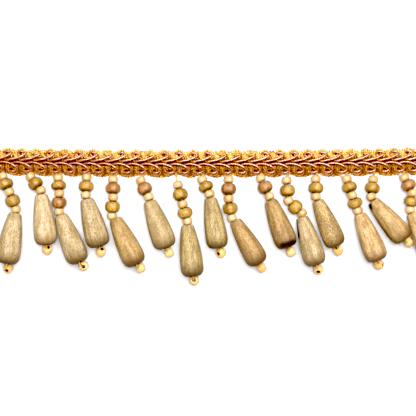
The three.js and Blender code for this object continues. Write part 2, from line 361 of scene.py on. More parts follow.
@dataclass(frozen=True)
class GroundWeave:
    """The braid's cotton ground, woven from two threads, both toned dark as painted shade under the
    yarn.

    It is dull. It is darker still in the eyes, along the groove and in the gaps between the lower
    loops, where no gold yarn lies over it, a painted shade there too.
    """

    name: str
    weft_painted_shade: str
    warp_and_painted_shade: str
    thread_spacing: float
    relief: float = 0.08

    def material(self) -> bpy.types.Material:
        """Makes the material, from Object coordinates and the share of painted shade.

        Returns:
            The material.
        """
        made = new_material(self.name)
        tree = made.node_tree
        threads = {
            "Vector": add_node(tree, "TexCoord").outputs["Object"],
            "Scale": math.tau / (20 * self.thread_spacing * MM),
            "Distortion": 1.2,
            "Detail": 1.0,
        }
        waves = []
        for direction in ("X", "Y"):
            bands = {"wave_type": "BANDS", "bands_direction": direction}
            waves.append(add_node(tree, "TexWave", bands, threads).outputs[1])
        plugs = {0: waves[0], 1: waves[1]}
        weave = add_node(tree, "Math", {"operation": "MULTIPLY"}, plugs).outputs[0]
        plugs = {"Value": weave, "To Min": 0.55, "To Max": 0.0}
        woven = add_node(tree, "MapRange", plugs=plugs)
        # Painted shade, read from the mesh, darkens the ground in the eyes, the groove and the lower
        # gaps.
        painted_shade_node = add_node(tree, "Attribute", {"attribute_name": "bare_warp"})
        plugs = {0: woven.outputs[0], 1: painted_shade_node.outputs[2]}
        dark = add_node(tree, "Math", {"operation": "MAXIMUM"}, plugs)
        gloss = {
            "Base Color": layered(tree, self.weft_painted_shade, [(dark.outputs[0], 0.0, 1.0, 1.0, self.warp_and_painted_shade)]),
            "Roughness": 0.85,
            "Specular IOR Level": 0.1,
        }
        return end_finish(made, weave, 0.8, self.relief, gloss)


class Stain(Enum):
    """The finish of a small, large or stop bead."""

    # The small beads, and the large beads' woods, darken at their lower ends, a painted shade.
    NATURAL = TurnedWood(
        "Beech, natural, waxed", "c8a97b", "b68a4e", "74401f", painted_end_shade=0.55, wax=0.65
    )
    WARM = TurnedWood(
        "Beech, natural, oiled", "e4bf85", "d5a360", "9f5e29", streak_share=0.4, wax=0.25
    )
    OLIVE = StainedWood("Beech, olive stain", "b28e45", "8b6529", "40260c", wax=0.25)
    HONEY = StainedWood("Beech, honey stain", "b7944b", "946c32", "4a2a0a", wax=0.2)
    ROSE = StainedWood(
        "Beech, rose stain", "a97b4b", "81542d", "44240e", streak_share=0.5, roughness=0.48, wax=0.35
    )


def drop_stain(name: str, colours: str, streak_share: float, **changes: float) -> PendantWood:
    """Mixes a pendant's finish.

    Args:
        name: Its name.
        colours: Its pale patches, body, streaks and chalky specks.
        streak_share: How strong the streaks are.
        **changes: What else differs from the other pendants.

    Returns:
        The finish.
    """
    return PendantWood(name, *colours.split(), streak_share=streak_share, **changes)


class DropTone(Enum):
    """The finish of a pendant. Each took the same stain a little differently."""

    TAN = drop_stain("Beech, grey tan stain", "bba582 957e53 5a401b cfc4a2", 0.75)
    LIGHT = drop_stain("Beech, light tan stain", "c6b28e a18861 6b491f dfceac", 0.65)
    GREYISH = drop_stain("Beech, grey stain", "ac956d 8f774c 604a28 cfc6aa", 0.55, roughness=0.65)
    GOLDEN = drop_stain("Beech, golden stain", "b89868 8d7143 55381a c9af78", 0.66)
    OLIVE = drop_stain("Beech, olive tan stain", "b09b68 8a7046 4d3718 cfc39e", 0.72)
    BROWN = drop_stain(
        "Beech, brown stain", "aa8a58 81633c 523518 c4af89", 0.7, fibre_length=0.9, roughness=0.65
    )
    CHALKY = drop_stain(
        "Beech, brown stain, chalky",
        "ac8f56 836539 4f3416 f0e2c2",
        0.7,
        fibre_length=0.9,
        roughness=0.65,
        dust_share=0.55,
    )
    WARM = drop_stain("Beech, warm tan stain", "ccaf80 9c7b4e 5c3b1c ddc894", 0.62)


GOLD_YARN = RayonYarn(
    "Rayon yarn, bright gold", "ffedaa", "de9a36", "61301f", ply_length=0.9, roughness=0.45, relief=0.14
)
# A darker copy of the gold yarn, a painted shade, for the comb and loops of the lower half.
GOLD_YARN_PAINTED_SHADE = RayonYarn(
    "Rayon yarn, gold, painted shade", "dda144", "8e5523", "36231f", ply_length=0.9, roughness=0.5, relief=0.14
)
ROSE_CORD = RayonYarn(
    "Rayon gimp cord, rose",
    "de9668",
    "964a28",
    "3a201e",
    ply_length=0.3,
    roughness=0.28,
    relief=0.03,
    gloss=1.0,
    shine=1.0,
    glint="ffead4",
)
# The core cords along the groove: their dark maroon is a painted shade of the groove.
CORE_CORD_PAINTED_SHADE = RayonYarn(
    "Rayon gimp cord, painted groove shade", "6f2c21", "48231f", "2c1f1f", ply_length=0.3, roughness=0.7, relief=0.03
)
BEAD_THREAD = RayonYarn(
    "Cotton thread, gold", "deb665", "b68744", "78512c", ply_length=0.7, roughness=0.7, relief=0.06
)
# The ground's colours are painted shade under the yarn.
GROUND = GroundWeave("Cotton ground weave, painted dark shade", "724322", "4a2b20", thread_spacing=0.5)
Finish = TurnedWood | RayonYarn | GroundWeave


class Workbench:
    """Finishes pieces: it gives each its scale, its material and its place on the part."""

    def __init__(self) -> None:
        """Starts with no material made."""
        self.made: dict[str, bpy.types.Material] = {}

    def material_of(self, finish: Finish) -> bpy.types.Material:
        """Gives the material of a finish, which is made once.

        Args:
            finish: The finish.

        Returns:
            Its material.
        """
        if finish.name not in self.made:
            self.made[finish.name] = finish.material()
        return self.made[finish.name]

    def finish(
        self,
        name: str,
        shape: BMesh,
        finish: Finish,
        slot: str,
        stands_for: tuple[str, ...] = (),
    ) -> bpy.types.Object:
        """Turns a mesh in millimetres into a piece.

        Args:
            name: The piece's name.
            shape: Its mesh, which is used up.
            finish: What it is made of.
            slot: The record's material slot, which is not used.
            stands_for: The nodes that it replaces.

        Returns:
            The finished piece.
        """
        bmesh.ops.scale(shape, vec=(MM, MM, MM), verts=shape.verts[:])
        mesh = bpy.data.meshes.new(name)
        shape.to_mesh(mesh)
        shape.free()
        mesh.materials.append(self.material_of(finish))
        mesh.shade_smooth()
        mesh.set_sharp_from_angle(angle=SHARP_ANGLE)
        piece = bpy.data.objects.new(name, mesh)
        bpy.context.scene.collection.objects.link(piece)
        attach(piece, "root")
        if stands_for:
            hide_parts(*stands_for)
        mesh.calc_loop_triangles()
        log.info("%s: %d triangles", name, len(mesh.loop_triangles))
        return piece


def smooth_path(knots: Line, step: float) -> Line:
    """Draws a smooth line through some points.

    Args:
        knots: The points.
        step: How far apart the line's own points lie.

    Returns:
        The line's points, evenly spaced.
    """
    fine: Line = []
    points_between = 14
    for at in range(len(knots) - 1):
        before = knots[max(at - 1, 0)]
        start, end = knots[at], knots[at + 1]
        after = knots[min(at + 2, len(knots) - 1)]
        leave, arrive = start + (end - before) / 6, end - (after - start) / 6
        fine += interpolate_bezier(start, leave, arrive, end, points_between)[:-1]
    fine.append(knots[-1])
    even, travelled = [fine[0]], 0.0
    for start, end in zip(fine, fine[1:]):
        span = (end - start).length
        while span > 0 and travelled + span >= step:
            start = start.lerp(end, (step - travelled) / span)
            even.append(start)
            span, travelled = (end - start).length, 0.0
        travelled += span
    return even


def spun_yarn(strands: list[Line], radius: float, resolution: int) -> BMesh:
    """Lays round yarn along some lines.

    Args:
        strands: The lines' points, evenly spaced.
        radius: The yarn's radius.
        resolution: How round it is: 0 has four sides, and each step adds two.

    Returns:
        Its mesh, with the UV map that the yarn's finish reads.
    """
    curve = bpy.data.curves.new("strand", "CURVE")
    curve.dimensions = "3D"
    curve.bevel_depth = radius
    curve.bevel_resolution = resolution
    curve.use_fill_caps = True
    for points in strands:
        spline = curve.splines.new("POLY")
        spline.points.add(len(points) - 1)
        for point, place in zip(spline.points, points):
            point.co = (*place, 1.0)
    holder = bpy.data.objects.new("strand", curve)
    bpy.context.scene.collection.objects.link(holder)
    graph = bpy.context.evaluated_depsgraph_get()
    mesh = bpy.data.meshes.new_from_object(holder.evaluated_get(graph))
    bpy.data.objects.remove(holder)
    bpy.data.curves.remove(curve)
    length = sum((b - a).length for line in strands for a, b in zip(line, line[1:])) / len(strands)
    shape = bmesh.new()
    shape.from_mesh(mesh)
    bpy.data.meshes.remove(mesh)
    yarn = shape.loops.layers.uv.new("yarn")
    automatic = shape.loops.layers.uv[0]
    for face in shape.faces:
        for loop in face.loops:
            along, around = loop[automatic].uv
            loop[yarn].uv = (around, along * length)
    shape.loops.layers.uv.remove(automatic)
    return shape


def turned(outline: list[Pair], sides: int) -> BMesh:
    """Turns a closed outline round the Z axis, as on a lathe.

    Args:
        outline: Each corner's radius and place along the axis.
        sides: How many steps a full turn has.

    Returns:
        The turned shape, closed, with its faces outwards.
    """
    shape = bmesh.new()
    corners = [shape.verts.new((radius, 0.0, along)) for radius, along in outline]
    for first, second in zip(corners, corners[1:] + corners[:1]):
        shape.edges.new((first, second))
    bmesh.ops.spin(
        shape,
        geom=shape.verts[:] + shape.edges[:],
        cent=(0.0, 0.0, 0.0),
        axis=(0.0, 0.0, 1.0),
        angle=math.tau,
        steps=sides,
        use_merge=True,
    )
    bmesh.ops.remove_doubles(shape, verts=shape.verts[:], dist=1e-4)
    bmesh.ops.recalc_face_normals(shape, faces=shape.faces[:])
    return shape


def with_grain(shape: BMesh, length: float, bore: float, seed: int) -> BMesh:
    """Marks a turned shape with its grain and its bore's inside, for painted shade, before it is
    placed.

    Args:
        shape: The shape, on the Z axis from 0 to its length.
        length: Its length.
        bore: The radius of its bore.
        seed: Picks the place in the plank that it was cut from.

    Returns:
        The same shape.
    """
    hair, plank_size = 0.01, 400
    plank = random.Random(seed)
    cut_from = Vector([plank.uniform(-plank_size, plank_size) for _ in range(3)])
    grain = shape.verts.layers.float_vector.new("grain")
    along = shape.verts.layers.float.new("along")
    inside = shape.verts.layers.float.new("inside")
    for corner in shape.verts:
        # inside marks the bore for its painted shade.
        corner[inside] = 1.0 if math.hypot(corner.co.x, corner.co.y) < bore + hair else 0.0
        corner[grain] = corner.co + cut_from
        # along also sets where the painted shade at the lower end falls.
        corner[along] = corner.co.z / length
    return shape


def fading(away: float, inside: float, fade: float) -> float:
    """Gives 1 up to some distance, and less and less past it, down to 0."""
    return 1 - min(1.0, max(0.0, away - inside) / fade)


def place_along(shape: BMesh, start: Vector, direction: Vector) -> BMesh:
    """Moves a turned shape so that its axis leaves a point in a direction.

    Args:
        shape: The shape, on the Z axis from 0.
        start: The point.
        direction: The direction, one long.

    Returns:
        The same shape.
    """
    turn = direction.to_track_quat("Z", "Y").to_matrix().to_4x4()
    bmesh.ops.transform(shape, matrix=Matrix.Translation(start) @ turn, verts=shape.verts[:])
    return shape


def set_on_surface(shape: BMesh, may_sink: bool) -> None:
    """Lifts a placed shape out of the surface, or also lowers it on to it where it may sink.

    Args:
        shape: The shape.
        may_sink: Whether one that hangs over the surface is lowered.
    """
    lowest = min(corner.co.z for corner in shape.verts)
    if may_sink or lowest < 0:
        bmesh.ops.translate(shape, vec=(0.0, 0.0, -lowest), verts=shape.verts[:])


def joined(shapes: list[BMesh]) -> BMesh:
    """Puts several shapes in one mesh.

    Args:
        shapes: The shapes, which are used up.

    Returns:
        The mesh with them all.
    """
    whole = bmesh.new()
    for shape in shapes:
        mesh = bpy.data.meshes.new("part")
        shape.to_mesh(mesh)
        shape.free()
        whole.from_mesh(mesh)
        bpy.data.meshes.remove(mesh)
    return whole


class Side(Enum):
    """The two sides of the heading's middle line."""

    UPPER = 1
    LOWER = -1


@dataclass
class BraidGround:
    """The heading's gold ground: a woven band, with curls, loops and picots of yarn on it."""

    thickness: float = 0.55
    top_edge: float = 4.75
    picot_height: float = 1.25
    picot_shift: float = -1.3
    picot_sharpness: float = 1.7
    notch_edge: float = 5.2
    notch_half_width: float = 2.0
    swag_depth: float = 1.2
    swag_fullness: float = 0.6
    yarn_radius: float = 0.34
    curl_radius: float = 0.25
    picot_yarn_radius: float = 0.27
    crimp_pitch: float = 1.27
    crimp_reach: float = 0.26
    upper_eye: Pair = (1.45 + 6.4, 3.54)
    lower_eye: Pair = (4.2 + 6.0, -3.65)
    eye_radius: float = 0.65
    # eye_fade to gap_reach: where the ground's painted shade lies; gap_half_width also parts the comb.
    eye_fade: float = 0.9
    groove_out: float = -0.4
    groove_half_width: float = 0.9
    groove_fade: float = 0.8
    gap_half_width: float = 0.2
    gap_painted_shade: float = 0.5
    gap_reach: float = 5.4
    hidden_share: float = 0.35
    end_gap: float = 0.5
    row_end_gap: float = 0.7
    eye_end_gap: float = 1.5
    notches: list[float] = field(default_factory=list)

    def lower_edge(self, x: float) -> float:
        """Gives the height of the lower edge, which hangs in a swag between two strings.

        Args:
            x: A place along the heading.

        Returns:
            How far out from the middle line the edge is there, below zero.
        """
        starts = [-HALF_LENGTH, *[place + self.notch_half_width for place in self.notches]]
        ends = [*[place - self.notch_half_width for place in self.notches], HALF_LENGTH]
        for start, end in zip(starts, ends):
            if start <= x <= end:
                share = (x - start) / (end - start)
                swag = math.sin(math.pi * share) ** self.swag_fullness
                return -self.notch_edge - self.swag_depth * swag
        return -self.notch_edge

    def upper_edge(self, x: float) -> float:
        """Gives how far above the middle line the edge with its picots reaches."""
        phase = (x - self.picot_shift + HALF_LENGTH) / CHEVRON_PITCH % 1.0
        return self.top_edge + self.picot_height * math.sin(math.pi * phase) ** self.picot_sharpness

    def eyes(self, side: Side) -> list[Pair]:
        """Gives the places of one row of eyes.

        Args:
            side: The row.

        Returns:
            Where each eye is along the heading, and how far out from its middle line.
        """
        first, out = self.upper_eye if side is Side.UPPER else self.lower_eye
        places = [first - HALF_LENGTH + k * CHEVRON_PITCH for k in range(-2, CHEVRON_COUNT + 1)]
        return [(x, out) for x in places if abs(x) < HALF_LENGTH - self.eye_end_gap]

    def hidden_eyes(self) -> list[Pair]:
        """Picks the upper eyes that gold yarn hides."""
        hand = random.Random(9)
        return [eye for eye in self.eyes(Side.UPPER) if hand.random() < self.hidden_share]

    def open_eyes(self, side: Side) -> list[Pair]:
        """Gives the places of the eyes that show."""
        hidden = self.hidden_eyes() if side is Side.UPPER else []
        return [eye for eye in self.eyes(side) if eye not in hidden]

    def from_gap(self, x: float) -> float:
        """Gives how far a place along the heading is from the nearest gap between lower loops."""
        phase = (x + HALF_LENGTH - self.lower_eye[0]) % CHEVRON_PITCH
        return abs(phase - CHEVRON_PITCH / 2)

    def clear_of_eyes(self, place: Vector, side: Side, gap: float) -> Vector:
        """Moves a yarn's point out of the eye that it would cross.

        Args:
            place: The point.
            side: The row of eyes that is kept clear.
            gap: How far from an eye's middle the yarn has to stay.

        Returns:
            The point, moved where it was too near.
        """
        out = place.y - middle_line(place.x)
        for x, eye_out in self.open_eyes(side):
            away = Vector((place.x - x, out - eye_out))
            if 0 < away.length < gap:
                away *= gap / away.length
                return on_braid(x + away.x, eye_out + away.y, place.z)
        return place

    def woven_band(self) -> BMesh:
        """Makes the woven band, a thin sheet that ends where the yarn at its edges begins.

        Returns:
            Its mesh, with the share of painted shade.
        """
        shape = bmesh.new()
        columns, rows = CHEVRON_COUNT * 8, 16
        bmesh.ops.create_grid(shape, x_segments=columns, y_segments=rows, size=1.0)
        inset = self.yarn_radius
        for corner in shape.verts:
            x = corner.co.x * HALF_LENGTH
            low, high = self.lower_edge(x) + inset, self.upper_edge(x) - inset
            out = low + (high - low) * (corner.co.y + 1) / 2
            corner.co = on_braid(x, out, self.thickness)
        bmesh.ops.solidify(shape, geom=shape.faces[:], thickness=self.thickness)
        bmesh.ops.recalc_face_normals(shape, faces=shape.faces[:])
        # Painted shade: the ground darkens in the open eyes, along the groove and in the gaps between
        # the lower loops.
        bare_warp = shape.verts.layers.float.new("bare_warp")
        eyes = self.open_eyes(Side.UPPER) + self.open_eyes(Side.LOWER)
        for corner in shape.verts:
            out = corner.co.y - middle_line(corner.co.x)
            nearest = min(math.hypot(corner.co.x - x, out - place) for x, place in eyes)
            from_groove = abs(out - self.groove_out)
            shares = [
                fading(nearest, self.eye_radius, self.eye_fade),
                fading(from_groove, self.groove_half_width, self.groove_fade),
            ]
            if -self.gap_reach < out < 0:
                shares.append(self.gap_painted_shade * fading(self.from_gap(corner.co.x), 0.3, 0.3))
            corner[bare_warp] = max(shares) if corner.co.z > self.thickness / 2 else 0.0
        return shape

    def crimped_row(
        self, side: Side, out: float, reach: float, turn: float, rise: float, seed: int
    ) -> Line:
        """Coils a yarn along the heading in uneven turns.

        Args:
            side: The side of the middle line that it lies on.
            out: The coil's middle, out from the heading's middle line.
            reach: How far it swings to either side.
            turn: How far it moves along the heading in one turn.
            rise: The height of its middle.
            seed: Picks the unevenness.

        Returns:
            The yarn's points.
        """
        hand = random.Random(seed)
        half = HALF_LENGTH - self.row_end_gap
        steps = 11
        knots = []
        x = -half
        for _ in range(int(2 * half / turn)):
            wide = reach * hand.uniform(0.65, 1.2)
            lean = hand.uniform(-0.3, 0.3)
            high = 0.3 * hand.uniform(0.8, 1.2)
            for step in range(steps):
                angle = math.tau * step / steps
                along = x + turn * step / steps + lean * math.sin(angle)
                swing = out + wide * math.cos(angle)
                knots.append(on_braid(along, swing, rise + high * math.sin(angle)))
            x += turn
        knots = [self.clear_of_eyes(knot, side, self.eye_radius + 0.25) for knot in knots]
        return [knot for knot in knots if abs(knot.x) < half]

    def edge_yarn(self, side: Side, inset: float, height: float, seed: int) -> Line:
        """Runs a crimped yarn along an edge, over each picot or along each swag.

        Args:
            side: The edge that it follows.
            inset: How far inside the edge it lies.
            height: The height of its middle.
            seed: Picks the unevenness.

        Returns:
            The yarn's points.
        """
        hand = random.Random(seed)
        half = HALF_LENGTH - self.end_gap
        stride, spacing = 0.32, 0.28
        knots = []
        x = -half
        while x < half:
            angle = math.tau * x / self.crimp_pitch
            crimp = self.crimp_reach * math.sin(angle) + hand.uniform(-0.1, 0.1)
            lift = 0.2 * math.cos(angle)
            edge = self.upper_edge(x) if side is Side.UPPER else self.lower_edge(x)
            knots.append(on_braid(x, edge - side.value * inset + crimp, height + lift))
            x += stride
        return smooth_path(knots, spacing)

    def eye_loop(self, middle: float, width: float, inset: float, seed: int) -> Line:
        """Lays a yarn round a lower eye, from the groove and back to it.

        Args:
            middle: The eye's place along the heading.
            width: How far from the eye's middle its sides lie.
            inset: How far inside the heading's lower edge its bottom lies.
            seed: Picks the unevenness.

        Returns:
            The yarn's points.
        """
        hand = random.Random(seed)
        half = HALF_LENGTH - self.end_gap
        groove_out, side_out, turn_out, bottom_out = -1.3, -2.2, -3.1, -4.9
        knots = [(-width * 0.9, groove_out, 0.0), (-width, side_out, 0.1)]
        steps = 8
        for number in range(steps + 1):
            angle = math.pi * number / steps
            x = middle - width * math.cos(angle)
            edge = self.lower_edge(max(-half, min(half, x)))
            bottom = min(edge + inset, bottom_out - 0.1 * width)
            out = turn_out + (bottom - turn_out) * math.sin(angle) ** 0.6
            knots.append((x - middle, out, 0.15 * math.sin(angle)))
        knots += [(width, side_out, 0.1), (width * 0.9, groove_out, 0.0)]
        wobble = 0.07
        points = []
        for across, out, lift in knots:
            place = middle + across + hand.uniform(-wobble, wobble)
            height = self.thickness + self.yarn_radius * 0.9 + lift + hand.uniform(-wobble, wobble)
            points.append(on_braid(place, out + hand.uniform(-wobble, wobble), height))
        return [point for point in smooth_path(points, 0.3) if abs(point.x) < half]

    def covering_curls(
        self,
        eyes: list[Pair],
        side: Side,
        ends: list[tuple[float, float, float, float]],
        lift: float,
        seed: int,
    ) -> list[Line]:
        """Curls short lengths of yarn over the cord, beside some eyes or across them.

        Args:
            eyes: The places of these eyes.
            side: The row that these eyes are in.
            ends: Where each length starts and ends, from the eye: along and out, then again.
            lift: How high it lies over the band.
            seed: Picks the unevenness, and which eyes have more than the first length.

        Returns:
            The points of each length.
        """
        hand = random.Random(seed)
        steps, steps_in_turn, reach, rise, full_share = 34, 10, 0.45, 0.26, 0.6
        curls = []
        for x, out in eyes:
            laid = ends if hand.random() < full_share else ends[:1]
            for start_along, start_out, end_along, end_out in laid:
                knots = []
                for step in range(steps):
                    share, angle = step / (steps - 1), math.tau * step / steps_in_turn
                    along = x + start_along + (end_along - start_along) * share
                    across = out + start_out + (end_out - start_out) * share
                    swing = reach * hand.uniform(0.8, 1.15) * math.cos(angle)
                    height = self.thickness + lift + rise * math.sin(angle)
                    knots.append(on_braid(along + swing, across + swing * 0.35, height))
                knots = [self.clear_of_eyes(knot, side, self.eye_radius + 0.2) for knot in knots]
                if all(abs(knot.x) < HALF_LENGTH - self.end_gap for knot in knots):
                    curls.append(knots)
        return curls

    def parted(self, row: Line) -> list[Line]:
        """Cuts a row of yarn at the gaps between the lower loops.

        Args:
            row: The yarn's points.

        Returns:
            The points of each length that is left.
        """
        parts: list[Line] = [[]]
        for knot in row:
            if self.from_gap(knot.x) > self.gap_half_width:
                parts[-1].append(knot)
            elif parts[-1]:
                parts.append([])
        return [part for part in parts if len(part) > 3]

    def build(self, bench: Workbench) -> None:
        """Makes the ground's pieces.

        Args:
            bench: Finishes them.
        """
        low, high = self.thickness + 0.35, self.thickness + 1.15
        upper = [
            self.crimped_row(Side.UPPER, out=4.55, reach=0.6, turn=1.15, rise=low, seed=11),
            self.crimped_row(Side.UPPER, out=3.65, reach=0.7, turn=1.2, rise=low, seed=12),
            self.crimped_row(Side.UPPER, out=2.55, reach=0.7, turn=1.25, rise=low, seed=13),
        ]
        beside = [(-2.9, -0.2, -1.5, -2.5), (-2.3, 0.3, -1.3, -1.2), (-3.3, 0.3, -2.2, -2.2)]
        over = [(-1.2, 0.15, 1.6, 0.0), (-1.4, 0.7, 1.9, 0.75), (0.2, -0.35, 2.1, 0.3)]
        eyes, hidden = self.eyes(Side.UPPER), self.hidden_eyes()
        upper += self.covering_curls(eyes, Side.UPPER, beside, lift=1.72, seed=41)
        upper += self.covering_curls(hidden, Side.UPPER, over, lift=2.15, seed=43)
        edge = [
            self.edge_yarn(Side.UPPER, inset=0.3, height=self.thickness + 0.15, seed=21),
            self.edge_yarn(Side.UPPER, inset=0.65, height=self.thickness + 0.6, seed=22),
        ]
        rows = [
            self.crimped_row(Side.LOWER, out=-2.1, reach=0.55, turn=1.15, rise=low, seed=31),
            self.crimped_row(Side.LOWER, out=-2.9, reach=0.5, turn=1.2, rise=high, seed=32),
        ]
        comb = [part for row in rows for part in self.parted(row)]
        beside = [(-2.2, 1.3, -1.7, -0.6), (-1.5, 1.6, -1.4, 0.1), (-1.9, 0.2, -1.3, -1.0)]
        eyes = self.eyes(Side.LOWER)
        comb += self.covering_curls(eyes, Side.LOWER, beside, lift=1.55, seed=42)
        rings = []
        for number, (middle, _) in enumerate(eyes):
            for lap, (width, inset) in enumerate([(2.55, 0.5), (1.7, 1.3)]):
                rings.append(self.eye_loop(middle, width, inset, 100 * number + lap))
        rings = [ring for ring in rings if len(ring) > 8]
        height = self.thickness + 0.05
        rings.append(self.edge_yarn(Side.LOWER, inset=0.35, height=height, seed=23))
        for name, strands, radius, finish in (
            ("curls", upper, self.curl_radius, GOLD_YARN),
            ("picots", edge, self.picot_yarn_radius, GOLD_YARN),
            # The comb and loops take the darker gold, a painted shade.
            ("comb", comb, self.curl_radius, GOLD_YARN_PAINTED_SHADE),
            ("loops", rings, self.yarn_radius, GOLD_YARN_PAINTED_SHADE),
        ):
            shape = spun_yarn(strands, radius, resolution=1)
            bench.finish("heading_gold_" + name, shape, finish, "gold_yarn")
        band = bench.finish(
            "heading_ground", self.woven_band(), GROUND, "gold_yarn", ("heading_band",)
        )


@dataclass
class ChevronCord:
    """One row of the rose cord: it runs out along each chevron, curls round an eye and returns.

    A loop's points are given as: along from its start, out from the middle line, and the share of
    the way from the low level to the high one.
    """

    side: Side
    node: str
    start: float
    loop: list[tuple[float, float, float]]
    radius: float
    low: float = 1.85
    high: float = 2.65
    end_gap: float = 0.3
    core_out: float = 0.35
    core_height: float = 1.0
    core_step: float = 0.5

    def route(self) -> list[Line]:
        """Lays the cord over the heading, cut through where the heading is cut.

        Returns:
            The points of each strand.
        """
        knots = []
        for count in range(-2, CHEVRON_COUNT + 2):
            for along, out, rise in self.loop:
                x = self.start - HALF_LENGTH + count * CHEVRON_PITCH + along
                height = self.low + (self.high - self.low) * rise
                knots.append(on_braid(x, self.side.value * out, height))
        strands: list[Line] = [[]]
        for point in smooth_path(knots, 0.3):
            if abs(point.x) < HALF_LENGTH - self.end_gap:
                strands[-1].append(point)
            elif strands[-1]:
                strands.append([])
        return [strand for strand in strands if len(strand) > 2]

    def build(self, bench: Workbench) -> None:
        """Makes the row.

        Args:
            bench: Finishes it.
        """
        name = "rose_cord_" + self.side.name.lower()
        row = spun_yarn(self.route(), self.radius, resolution=3)
        bench.finish(name + "_row", row, ROSE_CORD, "rose_cord", (self.node,))
        # A core cord runs along the groove; its dark maroon is painted shade of the groove.
        start = self.end_gap - HALF_LENGTH
        steps = int(-2 * start / self.core_step)
        places = [start + step * self.core_step for step in range(steps + 1)]
        line = [on_braid(x, self.core_out, self.core_height) for x in places]
        core = spun_yarn([line], self.radius, resolution=3)
        bench.finish(name + "_core", core, CORE_CORD_PAINTED_SHADE, "rose_cord")


UPPER_ROW = ChevronCord(
    side=Side.UPPER,
    node="heading_cord_upper",
    start=1.45,
    loop=[
        (0.0, 0.4, 0.3), (2.4, 0.85, 1.0), (4.9, 1.4, 1.0), (7.2, 2.35, 1.0), (8.3, 3.2, 0.6),
        (7.9, 4.0, 0.2), (6.5, 4.35, 0.0), (5.3, 3.9, -0.6), (5.0, 2.6, -1.2), (5.6, 1.4, -1.2),
    ],
    radius=0.53,
)
LOWER_ROW = ChevronCord(
    side=Side.LOWER,
    node="heading_cord_lower",
    start=4.2,
    loop=[
        (0.0, 0.95, 0.3), (2.4, 0.5, 1.0), (5.1, 0.97, 1.0), (7.1, 1.95, 1.0), (8.3, 3.3, 0.4),
        (7.5, 4.2, 0.1), (6.2, 4.5, 0.0), (4.9, 4.15, -0.6), (4.4, 2.9, -1.1), (5.1, 1.9, -1.2),
    ],
    radius=0.45,
    core_out=-0.55,
)


@dataclass(frozen=True)
class BeadSizes:
    """The sizes that all the strings share."""

    thread_radius: float = 0.28
    stray_radius: float = 0.17
    bore_radius: float = 0.62
    wide_bore_radius: float = 0.9
    stop_bore_radius: float = 0.8
    small_radius: float = 2.21
    small_half_height: float = 1.66
    small_face: float = 0.45
    squareness: float = 2.6
    large_radius: float = 3.32
    large_mouth_radius: float = 1.5
    large_to_small: float = 1.72
    large_length: float = 4.85
    pendant_to_small: float = 1.95
    stop_radius: float = 2.2
    stop_half_height: float = 1.9
    bend_past_pendant: float = 0.5
    root_height: float = 0.65
    root_shift: float = 0.4
    notch_shift: float = 0.75
    notch_edge: float = 4.9
    small_heights: tuple[float, ...] = (2.45, 3.8, 2.5)
    drop_outline: tuple[Pair, ...] = (
        (0.32, 0.0), (0.44, 0.0), (0.51, 0.005), (0.56, 0.022), (0.61, 0.065), (0.69, 0.155),
        (0.765, 0.255), (0.84, 0.36), (0.905, 0.47), (0.955, 0.58), (0.988, 0.68), (1.0, 0.76),
        (1.0, 0.81), (0.99, 0.85), (0.965, 0.885), (0.92, 0.918), (0.85, 0.948), (0.75, 0.972),
        (0.63, 0.988), (0.48, 0.997), (0.32, 1.0),
    )


SIZES = BeadSizes()


def leaning(degrees: float) -> Vector:
    """Gives the direction in the plan that leans this far to the right of straight down."""
    angle = math.radians(degrees)
    return Vector((math.sin(angle), -math.cos(angle), 0.0))


def barrel(radius: float, face: float, half: float, fullness: float, rings: int) -> list[Pair]:
    """Draws a bead's side, from one end to the other.

    Args:
        radius: Its largest radius.
        face: The radius of its ends.
        half: Half its height.
        fullness: How square its side is: the lower, the squarer.
        rings: How many steps the side has.

    Returns:
        Each ring's radius and place on the axis, which starts at 0.
    """
    outline = []
    for ring in range(rings + 1):
        share = -math.cos(math.pi * ring / rings)
        swell = (1 - abs(share) ** SIZES.squareness) ** fullness
        outline.append((face + (radius - face) * swell, half + half * share))
    return outline


def small_bead(radius: float, half: float, bore: float, seed: int) -> BMesh:
    """Turns a small bored bead, a rounded barrel.

    Args:
        radius: Its radius.
        half: Half its height.
        bore: The radius of its bore.
        seed: Picks its grain.

    Returns:
        The bead, on the Z axis from 0 to its height.
    """
    flare, depth = 0.1, 0.15
    outline = barrel(radius, radius * SIZES.small_face, half, fullness=0.5, rings=14)
    outline += [(bore + flare, 2 * half), (bore, 2 * half - depth)]
    outline += [(bore, depth), (bore + flare, 0.0)]
    return with_grain(turned(outline, sides=32), 2 * half, bore, seed)


def large_bead(length: float, seed: int) -> BMesh:
    """Turns a large bored bead, a flattened ball.

    Args:
        length: Its length along the bore.
        seed: Picks its grain.

    Returns:
        The bead, on the Z axis from 0 to its length.
    """
    bore, depth = SIZES.wide_bore_radius, 0.35
    radius, mouth = SIZES.large_radius, SIZES.large_mouth_radius
    outline = barrel(radius, mouth, length / 2, fullness=0.58, rings=20)
    outline += [(bore, length - depth), (bore, depth)]
    return with_grain(turned(outline, sides=44), length, bore, seed)


def pendant(length: float, radius: float, seed: int) -> BMesh:
    """Turns a drop-shaped pendant.

    Args:
        length: Its length.
        radius: Its largest radius.
        seed: Picks its grain.

    Returns:
        The pendant, on the Z axis, with its upper end at 0.
    """
    bore, depth = SIZES.wide_bore_radius, 0.4
    outline = [(share * radius, along * length) for share, along in SIZES.drop_outline]
    outline += [(bore, length - depth), (bore, depth)]
    return with_grain(turned(outline, sides=52), length, bore, seed)


@dataclass(frozen=True)
class DarkMark:
    """A dark mark on a pendant, along a line on it. Most are painted shade along a flank; one darkens a
    pendant's end.

    start, end: the line's ends, in mm: along the pendant from its upper end, and to the right of
    its axis. reach: how far the mark spreads from the line. depth: how dark its middle is.
    """

    start: Pair
    end: Pair
    reach: float
    depth: float


